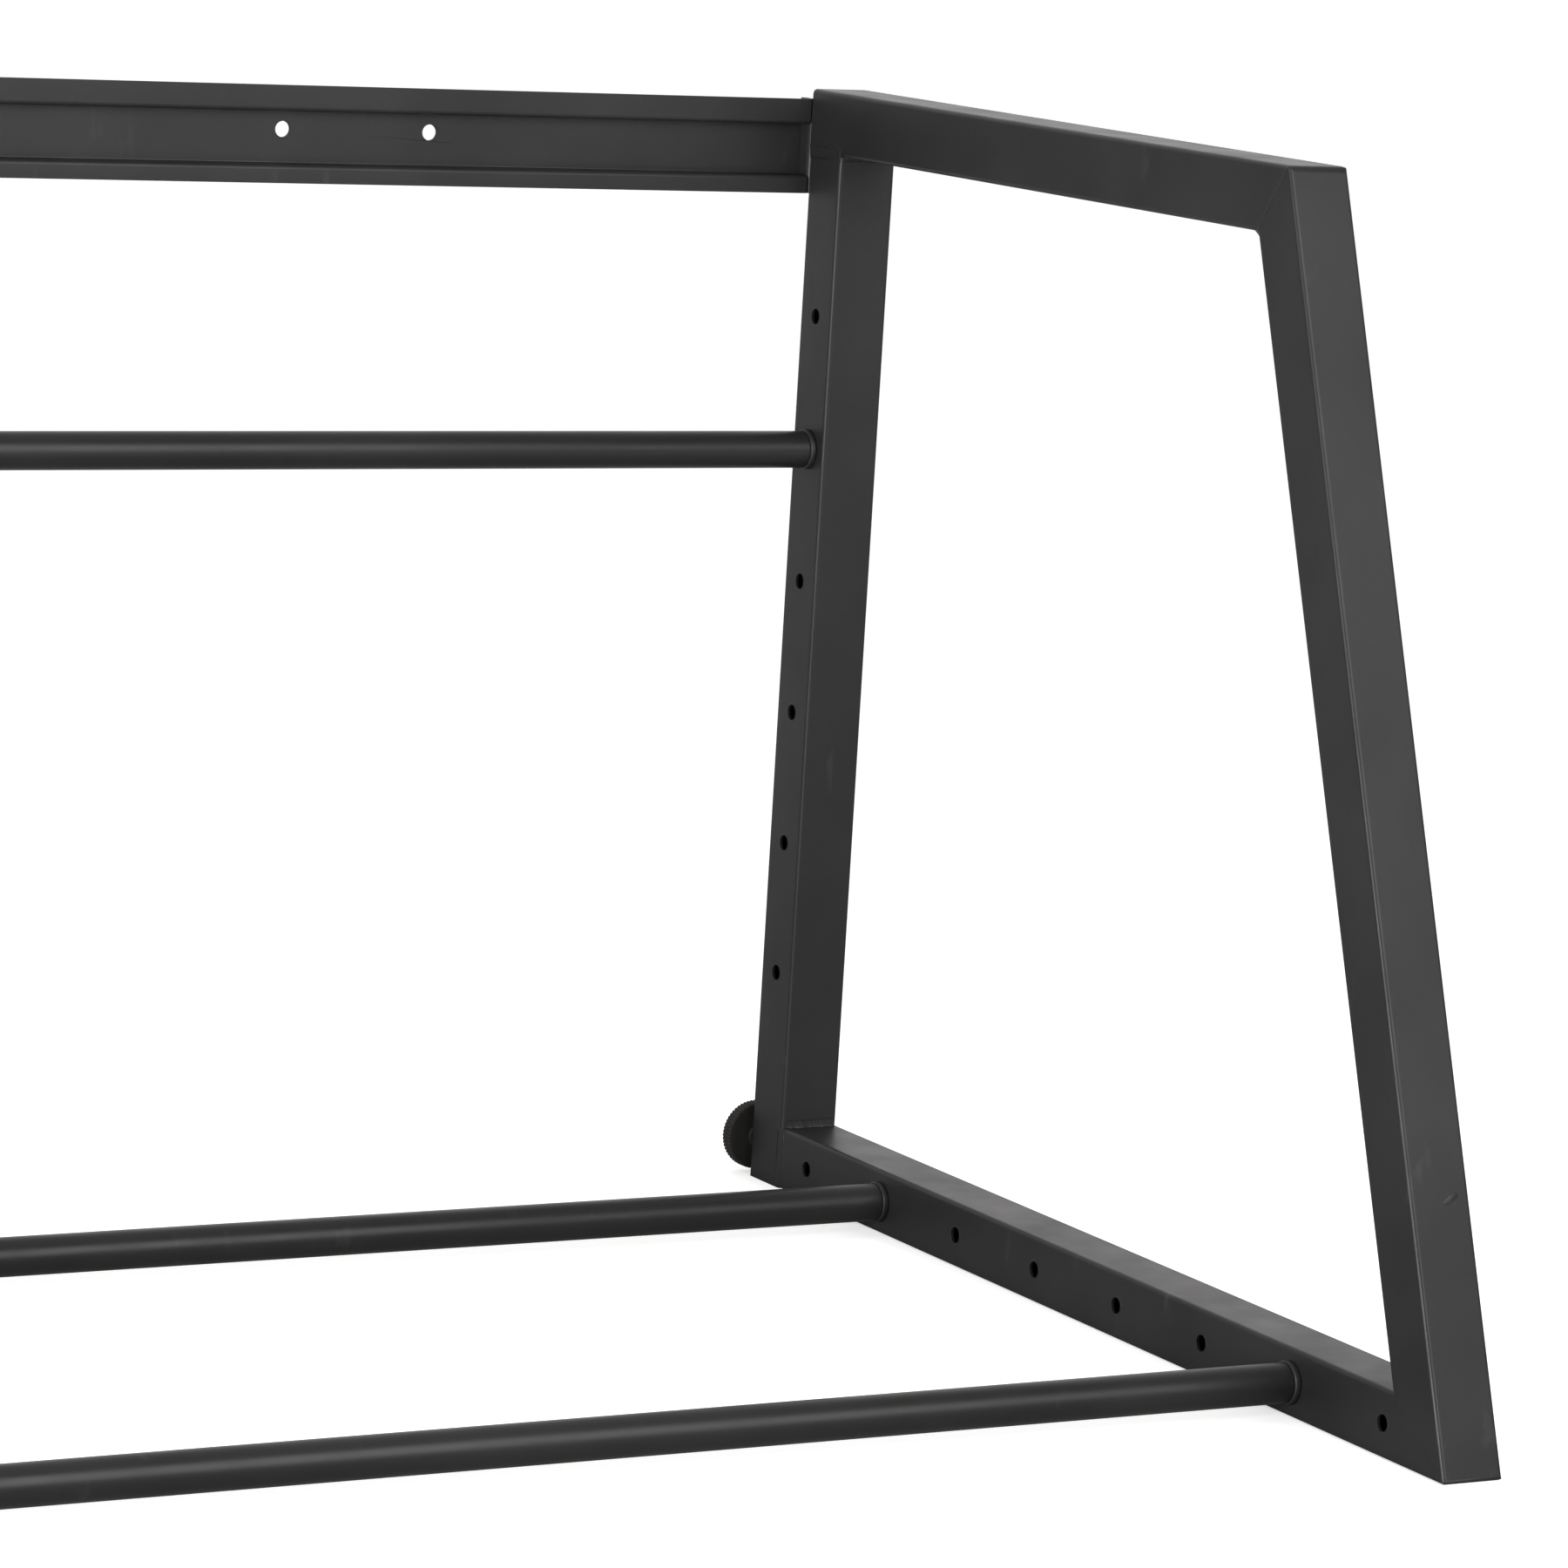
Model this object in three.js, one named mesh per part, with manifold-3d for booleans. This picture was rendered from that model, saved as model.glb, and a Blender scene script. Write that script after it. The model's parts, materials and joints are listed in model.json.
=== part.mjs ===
// Free-standing storage rack: two trapezoid end frames of square tube, joined by a lipped rear rail
// at the top and by three round bars that bolt into rows of holes. Millimetres, +Z up.
// X runs along the bars, -Y is the open front, z = 0 is the floor, and the origin is the middle
// of the rack's footprint. Inside the assembly group y = 0 is the rear face of the rear legs.

import * as THREE from 'three';
import { mergeVertices } from 'three/addons/utils/BufferGeometryUtils.js';
import Module from 'manifold-3d';

const wasm = await Module();
wasm.setup();

// ---- driving dimensions -------------------------------------------------------------------------

const LENGTH = 1402; // over the outer faces of the two end frames
const HEIGHT = 748;
const BASE_DEPTH = 846; // rear face of the rear leg to the toe of the front leg
const TOP_DEPTH = 584.5; // rear face of the rear leg to the front edge of the top rail

const TUBE = 42.5; // square tube, outside
const TUBE_WALL = 2;
const TUBE_CORNER = 3; // outside corner radius
const JOINT_GAP = 0.3; // left between pieces that are welded or seated face to face
const OVERLAP = 1; // how far two solids reach into each other before they are joined

const HOLE_RADIUS = 5.5;
const LEG_HOLES = { first: 596.5, pitch: 90, count: 6 }; // heights on the rear leg, from the top down
const BASE_HOLES = { first: 79, pitch: 100, count: 8 }; // distances in front of the rear face

const BAR_RADIUS = 12.5;
const BAR_WALL = 2;
const BAR_SIDES = 32;
const PLUG_SIDES = 24;
const FASTENER_SIDES = 16;

const PLUG = {
  flangeRadius: 13.6,
  flange: 4,
  spigotRadius: 10.2,
  spigot: 25,
  boreRadius: 5.4,
  chamfer: 0.8,
};
const BOLT = {
  shankRadius: 4.8,
  shankChamfer: 0.8,
  headRadius: 8.75,
  head: 4.2,
  reach: 16, // how far the shank goes past the plug's flange, into the bar
  socketRadius: 3.4,
  socketDepth: 2.8,
};
const WASHER = { innerRadius: 5.3, outerRadius: 10, thickness: 1.5 };

const RAIL = {
  top: 741,
  bottom: 677.5,
  upperLip: 15,
  lowerLip: 10,
  front: 0.4, // front face of both lips, behind the rear face of the legs
  back: 16, // back face of the web
  sheet: 2,
  bend: 2, // bend radius on the sheet's middle line
  holeRadius: 5.5,
  holeHeight: 711.5,
  holeX: [274, 380], // distance from mid-length, the same on both sides
};

const BRACKET = { thickness: 4, tab: 36, bend: 3, boltHeights: [692.75, 726.75], holeRadius: 3.5 };
const BRACKET_BOLT = { shankRadius: 2.9, headRadius: 5.77, head: 4, reach: 13 };
const WELD_NUT = { innerRadius: 3.6, outerRadius: 6.5, thickness: 6 };

const END_PLUG = { clearance: 0.3, corner: 0.8, thickness: 6, threadRadius: 3.2 };

const SPACER = {
  inset: 10.5, // from the leg's inner face to the stud's axis
  height: 25.6,
  radius: 23.5,
  teeth: 56,
  toothDepth: 0.8,
  front: 8, // front face of the disc, behind the leg's rear face
  thickness: 10,
  hubRadius: 8,
  hubFront: 6,
  studRadius: 3,
  studReach: 20, // how far the stud reaches into the leg
  boreRadius: 3.4,
  boreEnd: 14,
  insertBody: 4.5,
  insertFlange: 7,
  insertFlangeThickness: 1,
  insertDepth: 12,
};

// ---- worked out from them -----------------------------------------------------------------------

const HALF_TUBE = TUBE / 2;
const INNER_FACE = LENGTH / 2 - TUBE; // distance from mid-length to an end frame's inner face
const FRAME_X = LENGTH / 2 - HALF_TUBE; // middle of an end frame
const REAR_REACH = SPACER.front + SPACER.thickness;
const REAR_Y = (BASE_DEPTH - REAR_REACH) / 2; // rear face of the legs, seen from the origin

const LEG_LEAN = Math.atan2(BASE_DEPTH - TOP_DEPTH, HEIGHT);
const TOE_MITRE = 1 / Math.tan((Math.PI / 2 - LEG_LEAN) / 2); // run of the mitre per unit of height
const TOP_MITRE = 1 / Math.tan((Math.PI / 2 + LEG_LEAN) / 2);

// ---- materials ----------------------------------------------------------------------------------

function material(color, roughness, metalness) {
  return new THREE.MeshStandardMaterial({ color, roughness, metalness });
}

const powderCoat = material(0x3d3e3f, 0.55, 0.3);
const barCoat = material(0x333536, 0.5, 0.3);
const blackPlastic = material(0x1f1f1e, 0.6, 0);
const blackRubber = material(0x2a2826, 0.75, 0);
const blackSteel = material(0x2a2b2c, 0.45, 0.7);
const zincSteel = material(0xb4b6b8, 0.35, 0.9);

// ---- joining and cutting ------------------------------------------------------------------------

function toSolid(geometry) {
  const bare = geometry.clone();
  bare.deleteAttribute('normal');
  bare.deleteAttribute('uv');
  const merged = mergeVertices(bare, 1e-3);
  const vertProperties = new Float32Array(merged.attributes.position.array);
  const triVerts = new Uint32Array(merged.index.array);
  return new wasm.Manifold(new wasm.Mesh({ numProp: 3, vertProperties, triVerts }));
}

function toGeometry(solid) {
  const { vertProperties, triVerts } = solid.getMesh();
  const geometry = new THREE.BufferGeometry();
  geometry.setAttribute('position', new THREE.BufferAttribute(vertProperties, 3));
  geometry.setIndex(new THREE.BufferAttribute(triVerts, 1));
  geometry.computeVertexNormals();
  return geometry;
}

function cut(geometry, cutters) {
  const solid = cutters.reduce((rest, cutter) => rest.subtract(toSolid(cutter)), toSolid(geometry));
  return toGeometry(solid);
}

function join(first, second) {
  return toGeometry(toSolid(first).add(toSolid(second)));
}

// ---- shapes -------------------------------------------------------------------------------------

const CORNER_STEPS = 3;

// Corner points of a rounded square, counter-clockwise.
function roundedSquare(half, radius) {
  const points = [];
  for (let corner = 0; corner < 4; corner += 1) {
    const middle = ((corner + 0.5) * Math.PI) / 2;
    const centreX = Math.sign(Math.cos(middle)) * (half - radius);
    const centreY = Math.sign(Math.sin(middle)) * (half - radius);
    for (let step = 0; step <= CORNER_STEPS; step += 1) {
      const angle = ((corner + step / CORNER_STEPS) * Math.PI) / 2;
      const x = centreX + radius * Math.cos(angle);
      const y = centreY + radius * Math.sin(angle);
      points.push(new THREE.Vector2(x, y));
    }
  }
  return points;
}

// Square tube along +Z. Each end is a plane whose z changes by its slope for each unit of y.
function squareTube(length, startSlope = 0, endSlope = 0) {
  const section = new THREE.Shape(roundedSquare(HALF_TUBE, TUBE_CORNER));
  section.holes.push(new THREE.Path(roundedSquare(HALF_TUBE - TUBE_WALL, TUBE_CORNER - TUBE_WALL)));
  const geometry = new THREE.ExtrudeGeometry(section, { depth: length, bevelEnabled: false });
  const position = geometry.attributes.position;
  for (let i = 0; i < position.count; i += 1) {
    const slope = position.getZ(i) > length / 2 ? endSlope : startSlope;
    position.setZ(i, position.getZ(i) + slope * position.getY(i));
  }
  return geometry;
}

// A solid of revolution about X, from [radius, x] pairs. A profile off the axis closes on itself.
function turned(profile, segments) {
  const points = profile.map(([radius, x]) => new THREE.Vector2(radius, x));
  return new THREE.LatheGeometry(points, segments).rotateZ(-Math.PI / 2);
}

// A hollow cylinder about X, from x = 0 to x = length.
function sleeve(innerRadius, outerRadius, length, segments) {
  const profile = [
    [innerRadius, 0],
    [outerRadius, 0],
    [outerRadius, length],
    [innerRadius, length],
    [innerRadius, 0],
  ];
  return turned(profile, segments);
}

// A plain cylinder along X, centred on its own middle.
function rod(radius, length, segments) {
  return new THREE.CylinderGeometry(radius, radius, length, segments).rotateZ(-Math.PI / 2);
}

// A fastener-sized cylinder along Y, centred on its own middle.
function rodAlongY(radius, length) {
  return rod(radius, length, FASTENER_SIDES).rotateZ(Math.PI / 2);
}

// Outline of bent sheet, from the middle line's corner points, with every corner rounded.
function bentSheet(corners, bend, thickness) {
  const steps = 4;
  const path = new THREE.Path();
  path.moveTo(corners[0].x, corners[0].y);
  for (let i = 1; i < corners.length - 1; i += 1) {
    const before = corners[i - 1].clone().sub(corners[i]).setLength(bend).add(corners[i]);
    const after = corners[i + 1].clone().sub(corners[i]).setLength(bend).add(corners[i]);
    path.lineTo(before.x, before.y);
    path.quadraticCurveTo(corners[i].x, corners[i].y, after.x, after.y);
  }
  const last = corners[corners.length - 1];
  path.lineTo(last.x, last.y);
  const line = path.getPoints(steps);
  const sides = [-thickness / 2, thickness / 2].map((offset) => line.map((point, i) => {
    const ahead = line[Math.min(i + 1, line.length - 1)];
    const behind = line[Math.max(i - 1, 0)];
    const along = ahead.clone().sub(behind).normalize();
    return new THREE.Vector2(point.x - along.y * offset, point.y + along.x * offset);
  }));
  return new THREE.Shape([...sides[0], ...sides[1].reverse()]);
}

// ---- the pieces ---------------------------------------------------------------------------------

const assembly = new THREE.Group();
assembly.position.y = REAR_Y;

function place(name, geometry, finish, x, y, z) {
  const mesh = new THREE.Mesh(geometry, finish);
  mesh.name = name;
  mesh.position.set(x, y, z);
  assembly.add(mesh);
  return mesh;
}

function holeRow(row) {
  return Array.from({ length: row.count }, (_, i) => row.first + i * row.pitch);
}

const legHoleHeights = holeRow({ ...LEG_HOLES, pitch: -LEG_HOLES.pitch });
const baseHoleDepths = holeRow(BASE_HOLES);

// Where the three bars sit: the second hole of the leg, the second and the seventh of the base.
const barSeats = {
  upper_rear: { y: -HALF_TUBE, z: legHoleHeights[1] },
  lower_rear: { y: -baseHoleDepths[1], z: HALF_TUBE },
  lower_front: { y: -baseHoleDepths[6], z: HALF_TUBE },
};

function drill(distances) {
  return distances.map((z) => rod(HOLE_RADIUS, TUBE * 1.5, FASTENER_SIDES).translate(0, 0, z));
}

// Tube that lies along the depth: its own +Z points to the front and its own +Y points up.
function layForward(mesh) {
  mesh.rotation.x = Math.PI / 2;
}

function addEndFrame(side, name) {
  const x = side * FRAME_X;
  addRearLeg(side, name, x);

  const topLength = TOP_DEPTH - HALF_TUBE * TOP_MITRE - JOINT_GAP;
  const topRail = squareTube(topLength, 0, TOP_MITRE);
  layForward(place(`${name}_top_rail`, topRail, powderCoat, x, 0, HEIGHT - HALF_TUBE));

  const baseStart = TUBE + JOINT_GAP;
  const baseLength = BASE_DEPTH - HALF_TUBE * TOE_MITRE - baseStart - JOINT_GAP;
  const baseTube = squareTube(baseLength, 0, -TOE_MITRE);
  const baseRail = cut(baseTube, drill(baseHoleDepths.map((depth) => depth - baseStart)));
  layForward(place(`${name}_bottom_rail`, baseRail, powderCoat, x, -baseStart, HALF_TUBE));

  const toeY = -BASE_DEPTH + HALF_TUBE * TOE_MITRE;
  const topY = -TOP_DEPTH + HALF_TUBE * TOP_MITRE;
  const legLength = Math.hypot(topY - toeY, HEIGHT - TUBE);
  const frontTube = squareTube(legLength, TOE_MITRE, -TOP_MITRE);
  place(`${name}_front_leg`, frontTube, powderCoat, x, toeY, HALF_TUBE).rotation.x = -LEG_LEAN;

  addEndPlugs(name, x);
}

function addRearLeg(side, name, x) {
  const spacerHole = rodAlongY(SPACER.insertBody + JOINT_GAP, TUBE_WALL * 3)
    .translate(-side * (HALF_TUBE - SPACER.inset), HALF_TUBE, SPACER.height);
  const bracketHole = rodAlongY(BRACKET.holeRadius, TUBE_WALL * 3)
    .translate(0, HALF_TUBE, BRACKET.boltHeights[0]);
  const leg = squareTube(HEIGHT - TUBE - JOINT_GAP);
  const drilled = cut(leg, [...drill(legHoleHeights), spacerHole, bracketHole]);
  place(`${name}_rear_leg`, drilled, powderCoat, x, -HALF_TUBE, 0);
}

// The square inserts in the two open tube ends: one at the leg's foot, one behind the top rail.
function addEndPlugs(name, x) {
  const half = HALF_TUBE - TUBE_WALL - END_PLUG.clearance;
  const outline = () => new THREE.Shape(roundedSquare(half, END_PLUG.corner));
  const options = { depth: END_PLUG.thickness, bevelEnabled: false };
  const foot = new THREE.ExtrudeGeometry(outline(), options);
  place(`${name}_foot_plug`, foot, blackPlastic, x, -HALF_TUBE, 0);

  const threaded = outline();
  threaded.holes.push(new THREE.Path().absarc(0, 0, END_PLUG.threadRadius, 0, Math.PI * 2));
  const rear = new THREE.ExtrudeGeometry(threaded, { ...options, curveSegments: 8 });
  layForward(place(`${name}_top_rail_plug`, rear, blackSteel, x, 0, HEIGHT - HALF_TUBE));
}

function addRearRail() {
  const half = RAIL.sheet / 2;
  const lipY = RAIL.front + half;
  const webY = RAIL.back - half;
  const topBend = RAIL.top - RAIL.upperLip - half;
  const lowBend = RAIL.bottom + RAIL.lowerLip + half;
  const corners = [
    new THREE.Vector2(lipY, RAIL.bottom),
    new THREE.Vector2(lipY, lowBend),
    new THREE.Vector2(webY, lowBend),
    new THREE.Vector2(webY, topBend),
    new THREE.Vector2(lipY, topBend),
    new THREE.Vector2(lipY, RAIL.top),
  ];
  const halfLength = INNER_FACE - JOINT_GAP;
  const options = { depth: halfLength * 2, bevelEnabled: false };
  // The section's x is the depth and its y the height; extruded along +Z and turned to lie along X.
  const bar = new THREE.ExtrudeGeometry(bentSheet(corners, RAIL.bend, RAIL.sheet), options)
    .translate(0, 0, -halfLength)
    .applyMatrix4(new THREE.Matrix4().set(0, 0, 1, 0, 1, 0, 0, 0, 0, 1, 0, 0, 0, 0, 0, 1));
  const holePlaces = RAIL.holeX.flatMap((x) => [-x, x]);
  const holes = holePlaces.map((x) => rodAlongY(RAIL.holeRadius, RAIL.sheet * 4)
    .translate(x, webY, RAIL.holeHeight));
  place('rear_rail', cut(bar, holes), powderCoat, 0, 0, 0);
}

// Angle behind the end frame: it closes the rail's end and is bolted to the leg and the top rail.
function addRailBracket(side, name) {
  const half = BRACKET.thickness / 2;
  const plateX = INNER_FACE + half;
  const corners = [
    new THREE.Vector2(plateX, RAIL.back),
    new THREE.Vector2(plateX, RAIL.front + half),
    new THREE.Vector2(INNER_FACE + BRACKET.tab, RAIL.front + half),
  ];
  const options = { depth: RAIL.top - RAIL.bottom, bevelEnabled: false };
  const angle = new THREE.ExtrudeGeometry(bentSheet(corners, BRACKET.bend, BRACKET.thickness), options);
  const holes = BRACKET.boltHeights.map((height) => rodAlongY(BRACKET.holeRadius, BRACKET.thickness * 4)
    .translate(FRAME_X, RAIL.front + half, height - RAIL.bottom));
  const bracket = place(`${name}_rail_bracket`, cut(angle, holes), powderCoat, 0, 0, RAIL.bottom);
  if (side < 0) {
    mirrorAcrossX(bracket.geometry);
  }

  const headY = RAIL.front + BRACKET.thickness + JOINT_GAP;
  BRACKET.boltHeights.forEach((height, i) => {
    const boltName = `${name}_bracket_bolt_${i + 1}`;
    const bolt = place(boltName, hexBolt(), zincSteel, side * FRAME_X, headY, height);
    bolt.rotation.z = Math.PI / 2;
  });
  const nutY = -TUBE_WALL - JOINT_GAP - WELD_NUT.thickness;
  const nut = sleeve(WELD_NUT.innerRadius, WELD_NUT.outerRadius, WELD_NUT.thickness, 6);
  const nutMesh = place(`${name}_weld_nut`, nut, zincSteel, side * FRAME_X, nutY, BRACKET.boltHeights[0]);
  nutMesh.rotation.z = Math.PI / 2;
}

function mirrorAcrossX(geometry) {
  geometry.scale(-1, 1, 1);
  const index = geometry.index.array;
  for (let i = 0; i < index.length; i += 3) {
    [index[i], index[i + 1]] = [index[i + 1], index[i]];
  }
  geometry.computeVertexNormals();
}

// Hexagon bolt along X: the shank points to -x and the head's underside is at x = 0.
function hexBolt() {
  const shank = rod(BRACKET_BOLT.shankRadius, BRACKET_BOLT.reach + OVERLAP, FASTENER_SIDES);
  shank.translate((OVERLAP - BRACKET_BOLT.reach) / 2, 0, 0);
  const head = rod(BRACKET_BOLT.headRadius, BRACKET_BOLT.head, 6).translate(BRACKET_BOLT.head / 2, 0, 0);
  return join(head, shank);
}

// Button-head bolt along X with a hexagon socket: the head's underside is at x = 0.
function buttonBolt() {
  const { shankRadius, shankChamfer, headRadius, head, socketRadius, socketDepth } = BOLT;
  const shank = TUBE + PLUG.flange + WASHER.thickness + BOLT.reach;
  const profile = [
    [0, -shank],
    [shankRadius - shankChamfer, -shank],
    [shankRadius, -shank + shankChamfer],
    [shankRadius, 0],
    [headRadius, 0],
    [headRadius * 0.97, head * 0.35],
    [headRadius * 0.82, head * 0.72],
    [headRadius * 0.55, head],
    [0, head],
  ];
  const socket = rod(socketRadius, socketDepth * 2, 6).translate(head, 0, 0);
  return cut(turned(profile, FASTENER_SIDES), [socket]);
}

// Bar-end plug along X: the flange starts at x = 0 and the spigot reaches into the bar.
function barPlug() {
  const { flangeRadius, flange, spigotRadius, spigot, boreRadius, chamfer } = PLUG;
  const end = flange + spigot;
  const profile = [
    [boreRadius, 0],
    [flangeRadius - chamfer, 0],
    [flangeRadius, chamfer],
    [flangeRadius, flange - chamfer],
    [flangeRadius - chamfer, flange],
    [spigotRadius, flange],
    [spigotRadius, end],
    [boreRadius, end],
    [boreRadius, 0],
  ];
  return turned(profile, PLUG_SIDES);
}

// One bar with its two end plugs, and the bolt and washer that hold each end from outside.
function addBar(name, seat) {
  const plugFace = INNER_FACE - JOINT_GAP;
  const barEnd = plugFace - PLUG.flange - JOINT_GAP;
  const bar = sleeve(BAR_RADIUS - BAR_WALL, BAR_RADIUS, barEnd * 2, BAR_SIDES);
  place(`${name}_bar`, bar, barCoat, -barEnd, seat.y, seat.z);

  const washerX = LENGTH / 2 + JOINT_GAP;
  const boltX = washerX + WASHER.thickness + JOINT_GAP;
  for (const [side, end] of [[-1, 'left'], [1, 'right']]) {
    const turn = side > 0 ? 0 : Math.PI;
    const washer = sleeve(WASHER.innerRadius, WASHER.outerRadius, WASHER.thickness, FASTENER_SIDES);
    const pieces = [
      place(`${name}_plug_${end}`, barPlug(), blackPlastic, side * plugFace, seat.y, seat.z),
      place(`${name}_washer_${end}`, washer, blackSteel, side * washerX, seat.y, seat.z),
      place(`${name}_bolt_${end}`, buttonBolt(), blackSteel, side * boltX, seat.y, seat.z),
    ];
    pieces[0].rotation.z = turn + Math.PI;
    pieces[1].rotation.z = turn;
    pieces[2].rotation.z = turn;
  }
}

// Outline of the disc: one point on each tooth's tip and one in each groove between them.
function toothedOutline() {
  const { radius, teeth, toothDepth } = SPACER;
  return Array.from({ length: teeth * 2 }, (_, i) => {
    const reach = i % 2 ? radius - toothDepth : radius;
    const angle = (i * Math.PI) / teeth;
    return new THREE.Vector2(reach * Math.cos(angle), reach * Math.sin(angle));
  });
}

// Screw-out foot behind the leg: a ribbed disc on a stud that runs in a threaded insert.
function addSpacer(side, name) {
  const x = side * (INNER_FACE + SPACER.inset);
  const options = { depth: SPACER.thickness, bevelEnabled: false };
  const rim = new THREE.ExtrudeGeometry(new THREE.Shape(toothedOutline()), options)
    .rotateX(Math.PI / 2)
    .translate(0, SPACER.front + SPACER.thickness, 0);
  const hubLength = SPACER.front - SPACER.hubFront + OVERLAP;
  const hub = rodAlongY(SPACER.hubRadius, hubLength).translate(0, SPACER.hubFront + hubLength / 2, 0);
  const bore = rodAlongY(SPACER.boreRadius, SPACER.boreEnd * 2);
  const disc = cut(join(rim, hub), [bore]);
  place(`${name}_spacer_disc`, disc, blackRubber, x, 0, SPACER.height);

  const studLength = SPACER.boreEnd - JOINT_GAP + SPACER.studReach;
  const stud = rodAlongY(SPACER.studRadius, studLength)
    .translate(0, studLength / 2 - SPACER.studReach, 0);
  place(`${name}_spacer_stud`, stud, zincSteel, x, 0, SPACER.height);

  const flangeBack = JOINT_GAP + SPACER.insertFlangeThickness;
  const insertProfile = [
    [SPACER.boreRadius, -SPACER.insertDepth],
    [SPACER.insertBody, -SPACER.insertDepth],
    [SPACER.insertBody, JOINT_GAP],
    [SPACER.insertFlange, JOINT_GAP],
    [SPACER.insertFlange, flangeBack],
    [SPACER.boreRadius, flangeBack],
    [SPACER.boreRadius, -SPACER.insertDepth],
  ];
  const insert = turned(insertProfile, FASTENER_SIDES).rotateZ(Math.PI / 2);
  place(`${name}_spacer_insert`, insert, zincSteel, x, 0, SPACER.height);
}

for (const [side, name] of [[-1, 'left'], [1, 'right']]) {
  addEndFrame(side, name);
  addRailBracket(side, name);
  addSpacer(side, name);
}
addRearRail();
for (const [name, seat] of Object.entries(barSeats)) {
  addBar(name, seat);
}

const rack = new THREE.Group();
rack.add(assembly);

export default rack;
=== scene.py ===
"""The looks of the storage rack: finished skins, welds, fasteners, materials and a plain studio.

Metres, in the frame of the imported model: X runs along the bars, -Y is the open front, and z = 0 is the
floor. Sizes below are written in millimetres times MM.
"""

import json
import math

import bmesh
import bpy
from mathutils import Matrix, Vector, noise

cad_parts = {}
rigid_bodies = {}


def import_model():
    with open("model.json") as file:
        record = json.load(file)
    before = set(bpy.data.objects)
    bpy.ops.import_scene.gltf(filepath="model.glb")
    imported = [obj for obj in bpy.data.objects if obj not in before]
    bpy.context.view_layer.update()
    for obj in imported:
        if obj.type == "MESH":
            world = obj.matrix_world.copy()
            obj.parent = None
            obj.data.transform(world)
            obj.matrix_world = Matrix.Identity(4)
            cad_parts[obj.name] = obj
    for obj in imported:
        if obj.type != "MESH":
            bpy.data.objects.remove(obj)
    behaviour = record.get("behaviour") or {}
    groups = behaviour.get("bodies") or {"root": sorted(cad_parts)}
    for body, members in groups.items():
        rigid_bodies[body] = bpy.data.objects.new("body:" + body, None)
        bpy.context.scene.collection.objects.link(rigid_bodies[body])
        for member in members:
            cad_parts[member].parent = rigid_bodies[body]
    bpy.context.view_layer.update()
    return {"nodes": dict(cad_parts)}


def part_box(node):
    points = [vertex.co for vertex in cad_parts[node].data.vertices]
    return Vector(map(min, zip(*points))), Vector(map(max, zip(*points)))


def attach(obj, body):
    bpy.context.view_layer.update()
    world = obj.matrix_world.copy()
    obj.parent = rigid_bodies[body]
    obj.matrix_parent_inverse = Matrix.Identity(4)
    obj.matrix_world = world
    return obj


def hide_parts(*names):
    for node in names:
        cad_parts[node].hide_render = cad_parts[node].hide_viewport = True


MM = 0.001
FRAME_BODY = "rack_frame"
SIDES = {"left": -1, "right": 1}
BARS = ("upper_rear", "lower_rear", "lower_front")

# ---- driving dimensions ---------------------------------------------------------------------------

TUBE = 42.5 * MM
TUBE_CORNER = 3 * MM
MITRE_RADIUS = {"brow": 5 * MM, "toe": 2.6 * MM}  # of each mitre's outer corner, once ground
TUBE_MITRES = {
    "rear_leg": (),
    "bottom_rail": ("toe",),
    "top_rail": ("brow",),
    "front_leg": ("toe", "brow"),
}
HOLE_RADIUS = 5.5 * MM
HOLE_CLEARANCE = 25 * MM  # plain face kept beyond the last hole of a row
LEG_HOLES = {"first": 596.5 * MM, "pitch": -90 * MM, "count": 6, "with_bar": (1,)}
BASE_HOLES = {"first": 79 * MM, "pitch": 100 * MM, "count": 8, "with_bar": (1, 6)}
RAIL_HOLES = {"x": (274 * MM, 380 * MM), "z": 711.5 * MM, "sheet": 2 * MM}
BAR = {"wall": 2 * MM, "chamfer": 0.4 * MM}
PLUG = {
    "flange": 4 * MM,
    "length": 29 * MM,  # of the flange and the spigot together
    "spigot_radius": 10.2 * MM,
    "bore": 5.4 * MM,
    "soft_edge": 1.1 * MM,
}
WASHER = {"bore": 5.3 * MM, "soft_edge": 0.45 * MM}
BUTTON_BOLT = {
    "head": 4.2 * MM,
    "shank_radius": 4.8 * MM,
    "socket_radius": 3.4 * MM,
    "socket_depth": 2.8 * MM,
}
BRACKET_BOLT = {"head": 4 * MM, "across_corners": 11.54 * MM, "shank_radius": 2.9 * MM}
DISC = {
    "thickness": 10 * MM,
    "teeth": 56,
    "tooth_depth": 0.8 * MM,
    "hub_radius": 8 * MM,
    "bore_radius": 3.4 * MM,
}
STUD = {"pitch": 1 * MM, "thread_depth": 0.5 * MM, "chamfer": 0.8 * MM}
INSERT = {"flange": 1 * MM, "body_radius": 4.5 * MM, "bore": 3.4 * MM}

# ---- finished edges and welds ---------------------------------------------------------------------

ROUNDED = {  # width of the rounded edges on each kind of piece
    "tube": 0.35 * MM,
    "rail_bracket": 0.5 * MM,
    "foot_plug": 0.6 * MM,
    "top_rail_plug": 0.4 * MM,
    "weld_nut": 0.4 * MM,
    "rear_rail": 0.3 * MM,
}
FILLETS = {  # the hollower a bead's face, the higher its number: 1 is round and 2 is flat
    "base": {"leg": 4.6 * MM, "hollow": 1.55},
    "top": {"leg": 3 * MM, "hollow": 1.55},
    "brow": {"leg": 9 * MM, "hollow": 2.7},
    "toe": {"leg": 2.4 * MM, "hollow": 1.55},
}
COAT_RUN = {"height": 158 * MM, "off_centre": 7.5 * MM, "half_sizes": (6.5 * MM, 2.2 * MM, 0.35 * MM)}
SPATTER = {"height": 710.2 * MM, "inset": 0.9 * MM, "half_sizes": (1.1 * MM, 1.0 * MM, 1.3 * MM)}
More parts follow.
